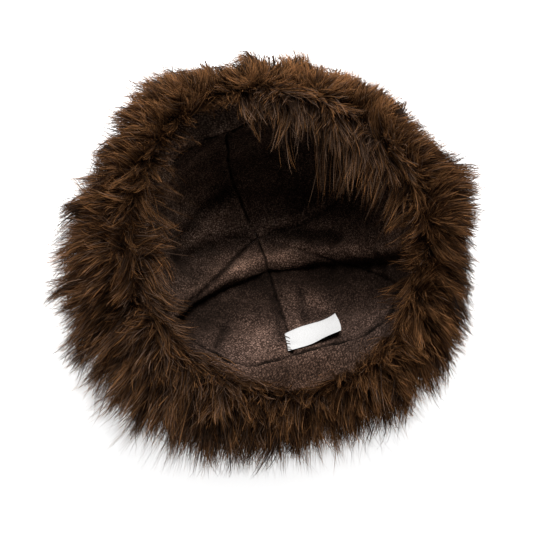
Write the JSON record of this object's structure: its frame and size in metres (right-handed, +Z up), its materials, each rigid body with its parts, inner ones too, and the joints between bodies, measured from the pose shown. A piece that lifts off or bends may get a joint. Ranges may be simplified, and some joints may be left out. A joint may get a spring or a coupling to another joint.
{
  "type": "round fur hat without ear flaps",
  "caption": "Round hat of deep dark brown fur, lying crown down, with a gored cloth lining, a brow band and a small bare care label.",
  "frame": {"origin": "middle of the hat's box on the floor it rests on, crown down", "axes": "+Z up out of the opening, -Y towards the side where the rim is lowest, +X to the right seen from there"},
  "size_m": [0.2871, 0.2767, 0.1714],
  "materials": {
    "fur": "deep-pile fur",
    "lining": "brushed knit",
    "label": "satin"
  },
  "bodies": {
    "root": {"fur_side_band": "fur", "fur_crown": "fur", "lining_band": "lining", "lining_gore_1": "lining", "lining_gore_2": "lining", "lining_gore_3": "lining", "lining_gore_4": "lining", "lining_gore_5": "lining", "lining_gore_6": "lining", "care_label": "label"}
  },
  "joints": []
}
